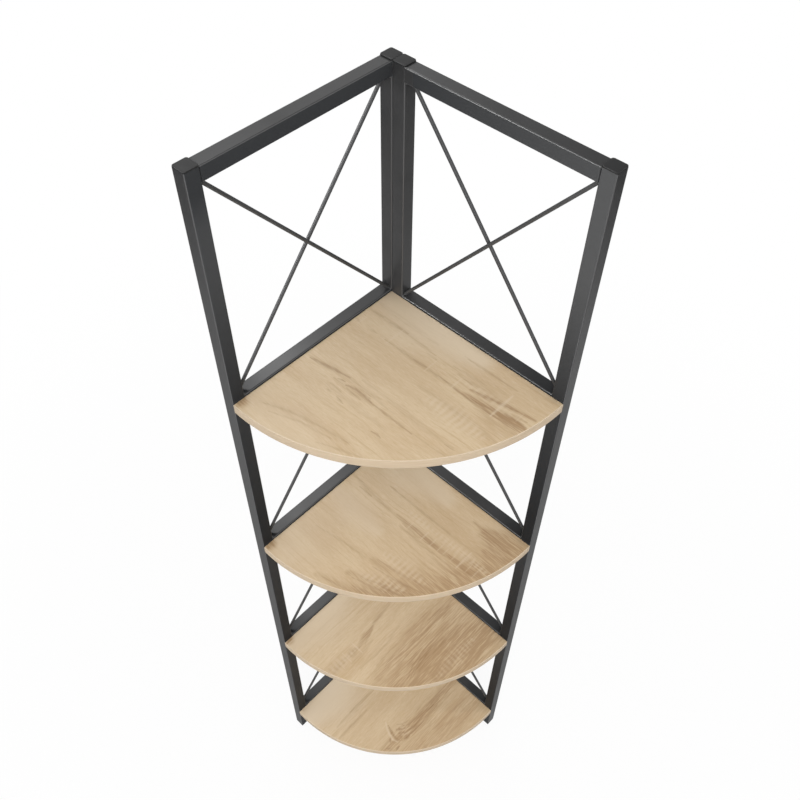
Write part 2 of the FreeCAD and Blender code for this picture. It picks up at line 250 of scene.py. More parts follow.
# Welds. Small ripple beads run across the top and underside of every rail end, up the grooves beside it and
# under every shelf tab, and a tapering bead holds each rod end in its corner. They lie under the powder coat,
# which on the beads in the grooves is painted darker, as painted shade, and has little sheen.
TUBE_CORNER = 0.002
TAB_INSET = 0.060
TAB_WIDTH = 0.020
GROOVE_DEPTH = 0.0013
ROD_BEAD_LENGTH = 0.007
BEAD_CHANCE = (0.86, 1.1)
BEAD_OVERLAP = 1.25
WELD_ROUGHNESS = (0.50, 0.56)
WELD_SHEEN = 0.1


def sockets(tree, inputs, output):
    """Gives a tree its named inputs and its one output, and hands back the inputs."""
    for name, kind in inputs.items():
        tree.interface.new_socket(name, in_out="INPUT", socket_type="NodeSocket" + kind)
    tree.interface.new_socket(output, in_out="OUTPUT", socket_type="NodeSocketGeometry")
    return tree.nodes.new("NodeGroupInput").outputs


def set_out(tree, places, piece, turn, cover, size=(1, 1, 1), smooth=False):
    """Ends a tree: a piece at every place, turned and sized, made real and given its finish."""
    inputs = {"Points": places, "Instance": piece, "Rotation": turn, "Scale": size}
    laid = node(tree, "GeometryNodeInstanceOnPoints", inputs)
    laid = node(tree, "GeometryNodeRealizeInstances", {"Geometry": laid})
    if smooth:
        laid = node(tree, "GeometryNodeSetShadeSmooth", {"Geometry": laid})
    laid = node(tree, "GeometryNodeSetMaterial", {"Geometry": laid, "Material": cover})
    node(tree, "NodeGroupOutput", {0: laid})


def chance(tree, least, most, seed):
    """A number of its own for every place."""
    inputs = {2: least, 3: most, "Seed": seed}
    return node(tree, "FunctionNodeRandomValue", inputs, data_type="FLOAT").outputs[1]


def bead_tree():
    """Flattened drops laid one over another along every edge of a mesh, shrinking towards the edge's end."""
    tree = bpy.data.node_groups.new("weld_bead", "GeometryNodeTree")
    given = sockets(tree, {"Seams": "Geometry", "Radius": "Float", "Pitch": "Float", "Taper": "Float",
                           "Seed": "Int", "Finish": "Material"}, "Beads")
    seams = node(tree, "GeometryNodeMeshToCurve", {"Mesh": given["Seams"]})
    steps = node(tree, "GeometryNodeResampleCurve", {"Curve": seams, "Length": given["Pitch"]}, mode="LENGTH")
    drop = node(tree, "GeometryNodeMeshUVSphere", {"Segments": 8, "Rings": 6, "Radius": 1})
    run = node(tree, "GeometryNodeInputTangent")
    turn = node(tree, "FunctionNodeAlignRotationToVector", {"Vector": run}, axis="Z")
    share = node(tree, "GeometryNodeSplineParameter").outputs["Factor"]
    kept = sums(tree, "SUBTRACT", 1, product(tree, share, given["Taper"]))
    across = product(tree, given["Radius"], chance(tree, *BEAD_CHANCE, given["Seed"]), kept)
    along = product(tree, given["Pitch"], BEAD_OVERLAP)
    size = node(tree, "ShaderNodeCombineXYZ", {"X": across, "Y": across, "Z": along})
    set_out(tree, steps, drop, turn, given["Finish"], size, smooth=True)
    return tree


def grown(name, tree, points, edges, sizes, slot):
    """The plain mesh that a tree grows on points and edges, riding with the unit."""
    source = bpy.data.meshes.new(name)
    source.from_pydata(points, edges, [])
    piece = bpy.data.objects.new(name, source)
    bpy.context.collection.objects.link(piece)
    modifier = piece.modifiers.new(name, "NODES")
    modifier.node_group = tree
    for socket in tree.interface.items_tree:
        if socket.name in sizes:
            modifier[socket.identifier] = sizes[socket.name]
    evaluated = piece.evaluated_get(bpy.context.evaluated_depsgraph_get())
    piece.data = bpy.data.meshes.new_from_object(evaluated)
    piece.modifiers.clear()
    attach(piece, "root")
    return piece


def seam_ends(seams):
    """The points of a list of straight seams, and the pairs that join them."""
    return [point for seam in seams for point in seam], [(2 * i, 2 * i + 1) for i in range(len(seams))]


def on_side(side, run, depth, height):
    """A point of a side frame from its place along the rails, through their depth and above the floor."""
    return (depth, run, height) if side == "left" else (run, depth, height)


def rail_span(name):
    """The side of a rail or rod, its two ends, its wall side and room side, its underside and its top."""
    low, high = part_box(name)
    if name.startswith("left"):
        return "left", (high.y, low.y), (low.x, high.x), (low.z, high.z)
    return "right", (low.x, high.x), (high.y, low.y), (low.z, high.z)


def rail_seams():
    """Across the underside of each rail end, and across its top where the post goes on above it."""
    seams = []
    for name in rails:
        side, ends, (wall, room), (under, top) = rail_span(name)
        inwards = math.copysign(TUBE_CORNER, room - wall)
        heights = (under,) if name.endswith("top_rail") else (under, top)
        for end in ends:
            for height in heights:
                start = on_side(side, end, wall + inwards, height)
                seams.append((start, on_side(side, end, room - inwards, height)))
    return seams


def groove_seams():
    """Up the inner and outer groove that the rounded corner of a post leaves beside each rail end."""
    seams = []
    for name in rails:
        side, ends, (wall, room), (under, top) = rail_span(name)
        inwards = math.copysign(GROOVE_DEPTH, room - wall)
        outwards = math.copysign(GROOVE_DEPTH / 2, ends[1] - ends[0])
        for run in (ends[0] - outwards, ends[1] + outwards):
            for depth in (wall + inwards, room - inwards):
                start = on_side(side, run, depth, under + TUBE_CORNER)
                seams.append((start, on_side(side, run, depth, top - TUBE_CORNER)))
    return seams


def rod_seams():
    """From each bay corner a short way along the rod that ends in it."""
    seams = []
    for name in rods:
        side, ends, depths, (under, top) = rail_span(name)
        middle = sum(depths) / 2
        heights = (under, top) if "rising" in name else (top, under)
        corners = [Vector(on_side(side, end, middle, height)) for end, height in zip(ends, heights)]
        for start, far in (corners, corners[::-1]):
            seams.append((start, start + (far - start).normalized() * ROD_BEAD_LENGTH))
    return seams


def tab_middles(number):
    """The middle of each tab's welded edge under a shelf, with its side and the way into the room."""
    for side in SIDES:
        side, (rear, front), (wall, room), (under, top) = rail_span(f"{side}_shelf_rail_{number}")
        inset = math.copysign(TAB_INSET, front - rear)
        for run in (rear + inset, front - inset):
            yield side, run, room, math.copysign(1, room - wall), under


def tab_seams():
    """Along the edge of each tab that lies against its rail."""
    seams = []
    reach = TAB_WIDTH / 2 - TUBE_CORNER
    for number in SHELVES:
        for side, run, room, inwards, under in tab_middles(number):
            seams.append((on_side(side, run - reach, room, under), on_side(side, run + reach, room, under)))
    return seams


# the groove beads carry painted shade: the darkest tone and little sheen
weld_coat = powder_coat("weld_powder_coat", COAT_PAINTED_SHADE, COAT_DARK, COAT_DARK, WELD_ROUGHNESS, WELD_SHEEN)
beads = bead_tree()
for name, seams, radius, pitch, taper, seed, cover in (
        ("rail_welds", rail_seams(), 0.0015, 0.0012, 0.0, 3, coat),
        ("groove_welds", groove_seams(), 0.0011, 0.0013, 0.0, 6, weld_coat),
        ("rod_welds", rod_seams(), 0.0034, 0.0011, 0.3, 5, rod_coat),
        ("tab_welds", tab_seams(), 0.0011, 0.0010, 0.0, 8, coat)):
    sizes = {"Radius": radius, "Pitch": pitch, "Taper": taper, "Seed": seed, "Finish": cover}
    grown(name, beads, *seam_ends(seams), sizes, "black_powder_coat")

# Post caps. Black plugs moulded in plastic and pushed into the post tops. Each lid is as wide as the tube,
# with rounded corners, a fine shadow line where it sits on the steel and a narrow round along its upper
# edge, which carries a painted highlight.
CAP_CORNER = 0.0027
CAP_CORNER_STEPS = 6
CAP_RISE = ((0.00040, 0.00000), (0.00018, 0.00006), (0.00004, 0.00018), (0.00000, 0.00034),
            (0.00000, 0.00138), (0.00005, 0.00160), (0.00019, 0.00177), (0.00038, 0.00187),
            (0.00060, 0.00191), (0.00300, 0.00195), (0.00600, 0.00198))
PLASTIC_DARK = (0.010, 0.010, 0.0104, 1)
PLASTIC_LIGHT = (0.016, 0.016, 0.0165, 1)
# painted highlight on the upper round of a rim
PLASTIC_RIM_HIGHLIGHT = (0.042, 0.042, 0.043, 1)
PLASTIC_DRIFT = (60, 3)
PLASTIC_GRAIN = (1800, 2)
PLASTIC_GRAIN_STRENGTH = 0.3
PLASTIC_GRAIN_DEPTH = 0.00008
PLASTIC_ROUGHNESS = (0.50, 0.60)
PLASTIC_SHEEN = 0.38
RIM_FROM_TOP = (0.98, 0.85)
RIM_FROM_SIDE = (0.2, 0.4)


def upright(tree):
    """How far a face looks up: 1 on a level top, 0 on a wall."""
    normal = node(tree, "ShaderNodeNewGeometry").outputs["Normal"]
    return node(tree, "ShaderNodeSeparateXYZ", {0: normal}).outputs["Z"]


def moulded_plastic():
    """Black plastic with a fine moulded grain, and a painted highlight where it turns over a rim."""
    plastic, tree, shader, place = finish("black_moulded_plastic")
    drift = noise(tree, place, *PLASTIC_DRIFT)
    grain = noise(tree, place, *PLASTIC_GRAIN)
    colour = mixed(tree, spread(tree, drift), PLASTIC_DARK, PLASTIC_LIGHT)
    up = upright(tree)
    # a painted highlight on faces that turn from the top over a rim
    rim = product(tree, ramp(tree, up, *RIM_FROM_TOP), ramp(tree, up, *RIM_FROM_SIDE))
    feed(tree, shader, {"Base Color": mixed(tree, rim, colour, PLASTIC_RIM_HIGHLIGHT),
                        "Roughness": spread(tree, drift, *PLASTIC_ROUGHNESS),
                        "Specular IOR Level": PLASTIC_SHEEN,
                        "Normal": raised(tree, (grain, PLASTIC_GRAIN_STRENGTH, PLASTIC_GRAIN_DEPTH))})
    return plastic


def rounded_square(side, corner, steps):
    """Points round a square with rounded corners, about its middle."""
    flat = side / 2 - corner
    points = []
    for quarter, (x, y) in enumerate(((1, 1), (-1, 1), (-1, -1), (1, -1))):
        for step in range(steps + 1):
            angle = math.pi / 2 * (quarter + step / steps)
            points.append((x * flat + corner * math.cos(angle), y * flat + corner * math.sin(angle)))
    return points


def shaped(name, body):
    """A smooth piece of its own from a body worked in bmesh."""
    for face in body.faces:
        face.smooth = True
    mesh = bpy.data.meshes.new(name)
    body.to_mesh(mesh)
    body.free()
    piece = bpy.data.objects.new(name, mesh)
    bpy.context.collection.objects.link(piece)
    return piece


def lid(name, low, high):
    """Rings of the lid's outline, each pulled in and raised, closed below and above."""
    body = bmesh.new()
    middle = (low + high) / 2
    rings = []
    for inset, rise in CAP_RISE:
        side = high.x - low.x - 2 * inset
        outline = rounded_square(side, min(CAP_CORNER, side / 2), CAP_CORNER_STEPS)
        rings.append([body.verts.new((middle.x + x, middle.y + y, low.z + rise)) for x, y in outline])
    for below, above in zip(rings, rings[1:]):
        for i in range(len(below)):
            body.faces.new((below[i - 1], below[i], above[i], above[i - 1]))
    body.faces.new(reversed(rings[0]))
    crown = body.verts.new((middle.x, middle.y, high.z))
    for i in range(len(rings[-1])):
        body.faces.new((rings[-1][i - 1], rings[-1][i], crown))
    return shaped(name, body)


plastic = moulded_plastic()
for side in SIDES:
    for end in ENDS:
        foot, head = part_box(f"{side}_{end}_post")
        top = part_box(f"{side}_{end}_cap")[1].z
        piece = lid(f"{side}_{end}_lid", Vector((foot.x, foot.y, head.z)), Vector((head.x, head.y, top)))
        piece.data.materials.append(plastic)
        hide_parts(f"{side}_{end}_cap")
        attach(piece, "root")

# Foot glides. Plugs of the same moulded plastic, pushed into the post feet to keep the steel off the floor.
# Only a thin square pad of each shows.
for side in SIDES:
    for end in ENDS:
        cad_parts[f"{side}_{end}_glide"].material_slots[0].material = plastic

# Frame bolts. Zinc-plated bolts with flat round heads and a hexagon socket pull the two rear posts together.
# They go in from the left and end in rivet nuts set in the right post.
BOLT_HEAD = 0.012
BOLT_HEAD_SIDES = 48
BOLT_CHAMFER = 0.0007
BOLT_SHANK = 0.006
BOLT_SHANK_SIDES = 24
BOLT_SOCKET = 0.0046
BOLT_SOCKET_DEPTH = 0.0026
ZINC_DARK = (0.50, 0.50, 0.49, 1)
ZINC_LIGHT = (0.66, 0.66, 0.65, 1)
ZINC_BLOOM = (700, 4)
ZINC_ROUGHNESS = (0.24, 0.38)
TURNING = (5200, 2)
TURNING_STRENGTH = 0.2
TURNING_DEPTH = 0.00004


def zinc_plate():
    """Bright plate with a cloudy bloom over fine turning marks."""
    zinc, tree, shader, place = finish("bright_zinc")
    bloom = noise(tree, place, *ZINC_BLOOM)
    turning = noise(tree, place, *TURNING)
    feed(tree, shader, {"Base Color": mixed(tree, spread(tree, bloom), ZINC_DARK, ZINC_LIGHT),
                        "Roughness": spread(tree, bloom, *ZINC_ROUGHNESS), "Metallic": 1,
                        "Normal": raised(tree, (turning, TURNING_STRENGTH, TURNING_DEPTH))})
    return zinc


def moved_up(tree, piece, height):
    """A piece of a tree moved along its upright line."""
    lift = node(tree, "ShaderNodeCombineXYZ", {"Z": height})
    return node(tree, "GeometryNodeTransform", {"Geometry": piece, "Translation": lift})


def turned_length(tree, sides, below, above, length):
    """A turned length of a bolt, from its radius below to that above."""
    return node(tree, "GeometryNodeMeshCone", {"Vertices": sides, "Radius Bottom": below, "Radius Top": above,
                                               "Depth": length})


def bolt_tree():
    """A chamfered round head with a hexagon socket on a shank, at every point, its head towards the left."""
    tree = bpy.data.node_groups.new("socket_bolt", "GeometryNodeTree")
    given = sockets(tree, {"Places": "Geometry", "Head radius": "Float", "Head height": "Float",
                           "Chamfer": "Float", "Shank radius": "Float", "Shank length": "Float",
                           "Socket radius": "Float", "Socket depth": "Float", "Finish": "Material"}, "Bolts")
    head = given["Head radius"]
    rim = sums(tree, "SUBTRACT", head, given["Chamfer"])
    wall = sums(tree, "SUBTRACT", given["Head height"], given["Chamfer"])
    low = turned_length(tree, BOLT_HEAD_SIDES, head, head, wall)
    high = moved_up(tree, turned_length(tree, BOLT_HEAD_SIDES, head, rim, given["Chamfer"]), wall)
    thick = given["Shank radius"]
    shank = turned_length(tree, BOLT_SHANK_SIDES, thick, thick, given["Shank length"])
    shank = moved_up(tree, shank, sums(tree, "SUBTRACT", 0, given["Shank length"]))
    body = node(tree, "GeometryNodeMeshBoolean", {"Self Intersection": True}, operation="UNION",
                solver="EXACT")
    for piece in (low, high, shank):
        feed(tree, body, {"Mesh 2": piece})
    bite = node(tree, "GeometryNodeMeshCylinder", {"Vertices": 6, "Radius": given["Socket radius"],
                                                   "Depth": given["Socket depth"]})
    bite = moved_up(tree, bite, given["Head height"])
    cut = node(tree, "GeometryNodeMeshBoolean", {"Mesh 1": body, "Mesh 2": bite}, operation="DIFFERENCE",
               solver="EXACT")
    set_out(tree, given["Places"], cut, (0, -math.pi / 2, 0), given["Finish"])
    return tree


zinc = zinc_plate()
low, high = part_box("frame_bolts")
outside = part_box("left_rear_post")[0].x
heights = (low.z + BOLT_HEAD / 2, high.z - BOLT_HEAD / 2)
places = [(outside, (low.y + high.y) / 2, height) for height in heights]
piece = grown("socket_bolts", bolt_tree(), places, [], {
    "Head radius": BOLT_HEAD / 2, "Head height": outside - low.x, "Chamfer": BOLT_CHAMFER, "Finish": zinc,
    "Shank radius": BOLT_SHANK / 2, "Shank length": high.x - outside, "Socket radius": BOLT_SOCKET / 2,
    "Socket depth": BOLT_SOCKET_DEPTH}, "zinc_plate")
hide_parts("frame_bolts")
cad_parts["frame_rivet_nuts"].material_slots[0].material = zinc

# Shelf boards. Quarter-rounds of 15 mm chipboard faced on both sides with printed oak paper under melamine,
# their straight sides closed with a paler edging. The grain runs across the upper two boards and forwards on
# the others.
BOARD_EASE = 0.0002
EASE_STEPS = 3
MERGE_REACH = 0.00001
FLAT_TURN = math.radians(0.5)
SHARP_TURN = math.radians(30)
SMOOTH_TURN = math.radians(40)
LEVEL_FACE = 0.99
STROKE_END = 0.35
MM = 1000
OAK_PALE = (0.612, 0.474, 0.304, 1)
OAK_DEEP = (0.480, 0.330, 0.182, 1)
OAK_LINE = (0.280, 0.165, 0.076, 1)
OAK_STAIN = (0.395, 0.262, 0.142, 1)
OAK_SAWN = (0.660, 0.540, 0.390, 1)
OAK_ROUGHNESS = (0.46, 0.54)
OAK_SHEEN = 0.40
OAK_GRAIN_STRENGTH = 0.3
EDGING_PALE = (0.468, 0.372, 0.262, 1)
EDGING_DEEP = (0.410, 0.314, 0.211, 1)
# paler arrises of the edging: partly scraped trim, partly a painted highlight
EDGING_SCRAPE_AND_HIGHLIGHT = (0.700, 0.580, 0.430, 1)
EDGING_STRETCH = (28, 28, 900)
EDGING_LINES = (1, 4)
EDGING_DRIFT = (22, 2)
EDGING_DRIFT_SHARE = 0.4
SCRAPED_TURN = (0.2, 0.7)
EDGING_ROUGHNESS = (0.42, 0.54)
EDGING_SHEEN = 0.35
EDGING_GRAIN_STRENGTH = 0.25
PRINT_DEPTH = 0.00006
SAW_PITCH = 9.4

# Streaks of the print: their length and width in millimetres, their fineness and the step to their seed
WANDER = (90, 35, 2, 0)
SLOW_TONE = (150, 26, 3, 0)
GROWTH = (120, 3.4, 4, 20)
FIBRE = (11, 1.1, 4, 40)
PORES = (4.6, 0.5, 2, 60)
FRAY = (16, 2.4, 3, 80)
BREAKS = (34, 2.2, 4, 100)
SEED_STEP = 3.7
STREAK_ROUGHNESS = 0.55
WANDER_REACH = 14
FRAY_REACH = 4

# The part of each streak that shows, and how strongly where it does
TONE_BAND = (0.36, 0.66)
GROWTH_BAND = (0.50, 0.72)
GROWTH_LEAST = 0.30
GROWTH_GAIN = 0.6
FIBRE_DARK = (0.48, 0.72, 0, 0.45)
FIBRE_PALE = (0.50, 0.28, 0, 0.40)
PORE_BAND = (0.58, 0.72)
PORE_SHARE = 0.20
BREAK_BAND = (0.34, 0.64, 0.25, 1.2)
RAGGED_BAND = (0.28, 0.68, 0.5, 1.2)


def eased_copy(name, source, ease):
    """A CAD node's shape with its sharp edges rounded over a little."""
    body = bmesh.new()
    body.from_mesh(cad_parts[source].data)
    bmesh.ops.remove_doubles(body, verts=body.verts, dist=MERGE_REACH)
    bmesh.ops.dissolve_limit(body, angle_limit=FLAT_TURN, verts=body.verts, edges=body.edges)
    sharp = [edge for edge in body.edges if edge.is_manifold and edge.calc_face_angle() > SHARP_TURN]
    bmesh.ops.bevel(body, geom=sharp, offset=ease, segments=EASE_STEPS, profile=0.5, affect="EDGES",
                    clamp_overlap=True)
    bmesh.ops.recalc_face_normals(body, faces=body.faces)
    piece = shaped(name, body)
    piece.data.set_sharp_from_angle(angle=SMOOTH_TURN)
    return piece


def eased(tree, amount, start, end, low=0, high=1):
    """A ramp that starts and ends softly."""
    return ramp(tree, amount, start, end, low, high, easing="SMOOTHSTEP")


def grain_mark():
    """A straight stroke on the paper, full on its line and gone at its half width, laid over the strokes
    before it. It starts from their sum, so that a long list is worked out one stroke after another."""
    tree = bpy.data.node_groups.new("grain_mark", "ShaderNodeTree")
    for name in ("Along", "Across", "Run along", "Run across", "Start", "Line", "Length", "Width", "Gain",
                 "Strength", "Under"):
        tree.interface.new_socket(name, in_out="INPUT", socket_type="NodeSocketFloat")
    tree.interface.new_socket("Amount", in_out="OUTPUT", socket_type="NodeSocketFloat")
    given = tree.nodes.new("NodeGroupInput").outputs
    next_to_nothing = 1e-9

    def multiply_add(first, second, third):
        inputs = {0: first, 1: second, 2: third}
        return node(tree, "ShaderNodeMath", inputs, operation="MULTIPLY_ADD").outputs[0]

    start = multiply_add(given["Under"], next_to_nothing, given["Start"])
    reach = multiply_add(given["Along"], given["Run along"], start)
    reach = multiply_add(given["Across"], given["Run across"], reach)
    share = node(tree, "ShaderNodeMath", {0: reach, 1: given["Length"]}, operation="DIVIDE", use_clamp=True)
    over = sums(tree, "SUBTRACT", reach, product(tree, share, given["Length"]))
    line = multiply_add(given["Under"], next_to_nothing, given["Line"])
    aside = multiply_add(given["Across"], given["Run along"], line)
    aside = sums(tree, "SUBTRACT", aside, product(tree, given["Along"], given["Run across"]))
    miss = sums(tree, "POWER", multiply_add(aside, aside, product(tree, over, over)), 0.5)
    width = multiply_add(given["Gain"], share, given["Width"])
    fade = eased(tree, sums(tree, "DIVIDE", miss, width), 0, 1, 1, 0)
    laid = sums(tree, "MAXIMUM", product(tree, fade, given["Strength"]), given["Under"])
    node(tree, "NodeGroupOutput", {0: laid})
    return tree


def streaks(tree, place, leaf, along, across, detail, step):
    """A noise drawn out along the grain. Every leaf of paper has its own."""
    drawn = node(tree, "ShaderNodeMapping", {"Vector": place, "Scale": (1 / along, 1 / across, 1)})
    inputs = {"Vector": drawn, "W": (leaf + step) * SEED_STEP, "Scale": 1, "Detail": detail,
              "Roughness": STREAK_ROUGHNESS}
    return node(tree, "ShaderNodeTexNoise", inputs, noise_dimensions="4D").outputs["Fac"]


def pushed(tree, place, pattern, reach):
    """A place on the sheet, pushed across the grain by a pattern, by half a reach to either side."""
    aside = product(tree, sums(tree, "SUBTRACT", pattern, 0.5), reach)
    aside = node(tree, "ShaderNodeCombineXYZ", {"Y": aside})
    return node(tree, "ShaderNodeVectorMath", {0: place, 1: aside}, operation="ADD").outputs["Vector"]


def marked(tree, place, strokes):
    """A leaf's drawn strokes together. Each is its points, its half width and its strength, and thin at its
    ends."""
    along, across, _ = node(tree, "ShaderNodeSeparateXYZ", {0: place}).outputs
    total = 0.0
    for points, width, strength in strokes:
        if len(points) == 2:
            points = [points[0], [sum(pair) / 2 for pair in zip(*points)], points[1]]
        widths = [width * STROKE_END] + [width] * (len(points) - 2) + [width * STROKE_END]
        for i in range(len(points) - 1):
            (from_x, from_y), (to_x, to_y) = points[i], points[i + 1]
            length = math.hypot(to_x - from_x, to_y - from_y)
            run_x, run_y = (to_x - from_x) / length, (to_y - from_y) / length
            total = node(tree, "ShaderNodeGroup", {
                "Along": along, "Across": across, "Run along": run_x, "Run across": run_y, "Length": length,
                "Start": -run_x * from_x - run_y * from_y, "Line": run_y * from_x - run_x * from_y,
                "Width": widths[i], "Gain": widths[i + 1] - widths[i], "Strength": strength,
                "Under": total}, node_tree=mark).outputs[0]
    return total


def oak_paper(leaf, corner, forwards, depth, pale, stains, lines, ticks, sawn):
    """One leaf of the printed paper: slow tone, growth lines, fibres and pores, then its own marks and saw
    cuts. Its pale strokes are painted sheen and painted light."""
    paper, tree, shader, place = finish(f"oak_paper_{leaf}")
    if forwards:
        turn = {"Scale": (-MM, -MM, 0), "Rotation": (0, 0, -math.pi / 2),
                "Location": (MM * corner.y, -MM * corner.x, 0)}
    else:
        turn = {"Scale": (MM, -MM, 0), "Location": (-MM * corner.x, MM * corner.y, 0)}
    sheet = node(tree, "ShaderNodeMapping", {"Vector": place, **turn}).outputs[0]
    flow = pushed(tree, sheet, streaks(tree, sheet, leaf, *WANDER), WANDER_REACH)
    tone = eased(tree, streaks(tree, flow, leaf, *SLOW_TONE), *TONE_BAND)
    growth = eased(tree, streaks(tree, flow, leaf, *GROWTH), *GROWTH_BAND)
    fibre = streaks(tree, flow, leaf, *FIBRE)
    pores = eased(tree, streaks(tree, flow, leaf, *PORES), *PORE_BAND)
    colour = mixed(tree, product(tree, tone, depth), OAK_PALE, OAK_DEEP)
    colour = mixed(tree, product(tree, growth, GROWTH_LEAST + GROWTH_GAIN * depth), colour, OAK_DEEP)
    colour = mixed(tree, eased(tree, fibre, *FIBRE_DARK), colour, OAK_DEEP)
    colour = mixed(tree, eased(tree, fibre, *FIBRE_PALE), colour, OAK_SAWN)
    colour = mixed(tree, product(tree, pores, PORE_SHARE), colour, OAK_LINE)
    frayed = pushed(tree, sheet, streaks(tree, sheet, leaf, *FRAY), FRAY_REACH)
    broken = eased(tree, streaks(tree, sheet, leaf, *BREAKS), *BREAK_BAND)
    # pale strokes: painted sheen and painted light
    colour = mixed(tree, marked(tree, sheet, pale), colour, OAK_SAWN)
    # the widest stains are partly print and partly painted shade
    soaked = product(tree, marked(tree, frayed, stains), broken)
    colour = mixed(tree, soaked, colour, OAK_STAIN)
    ragged = eased(tree, fibre, *RAGGED_BAND)
    drawn = product(tree, marked(tree, frayed, lines), ragged)
    colour = mixed(tree, drawn, colour, OAK_LINE)
    ripple = node(tree, "ShaderNodeTexWave", {"Vector": frayed, "Scale": math.pi / 10 / SAW_PITCH,
                                              "Distortion": 2.0, "Detail": 1, "Detail Scale": 1.5},
                  bands_direction="X").outputs["Fac"]
    cuts = product(tree, marked(tree, sheet, sawn), ripple)
    cuts = sums(tree, "MAXIMUM", cuts, marked(tree, sheet, ticks))
    colour = mixed(tree, product(tree, cuts, ragged), colour, OAK_SAWN)
    relief = sums(tree, "SUBTRACT", fibre, pores)
    feed(tree, shader, {"Base Color": colour, "Roughness": eased(tree, fibre, *NOISE_MIDDLE, *OAK_ROUGHNESS),
                        "Specular IOR Level": OAK_SHEEN,
                        "Normal": raised(tree, (relief, OAK_GRAIN_STRENGTH, PRINT_DEPTH))})
    return paper


def pale_edging():
    """Edging with fine lines along it, paler where it turns over an arris: partly a scraped trim, partly a
    painted highlight.
    """
    edging, tree, shader, place = finish("pale_oak_edging")
    drawn = node(tree, "ShaderNodeMapping", {"Vector": place, "Scale": EDGING_STRETCH}).outputs[0]
    lines = noise(tree, drawn, *EDGING_LINES)
    slow = noise(tree, place, *EDGING_DRIFT)
    colour = mixed(tree, spread(tree, lines), EDGING_PALE, EDGING_DEEP)
    colour = mixed(tree, spread(tree, slow, 0, EDGING_DRIFT_SHARE), colour, EDGING_PALE)
    level = node(tree, "ShaderNodeMath", {0: upright(tree)}, operation="ABSOLUTE")
    # faces turned up or down are painted paler: partly scraped trim, partly a painted highlight
    scrape_and_highlight = eased(tree, level, *SCRAPED_TURN)
    feed(tree, shader, {"Base Color": mixed(tree, scrape_and_highlight, colour, EDGING_SCRAPE_AND_HIGHLIGHT),
                        "Roughness": spread(tree, lines, *EDGING_ROUGHNESS),
                        "Specular IOR Level": EDGING_SHEEN,
                        "Normal": raised(tree, (lines, EDGING_GRAIN_STRENGTH, PRINT_DEPTH))})
    return edging


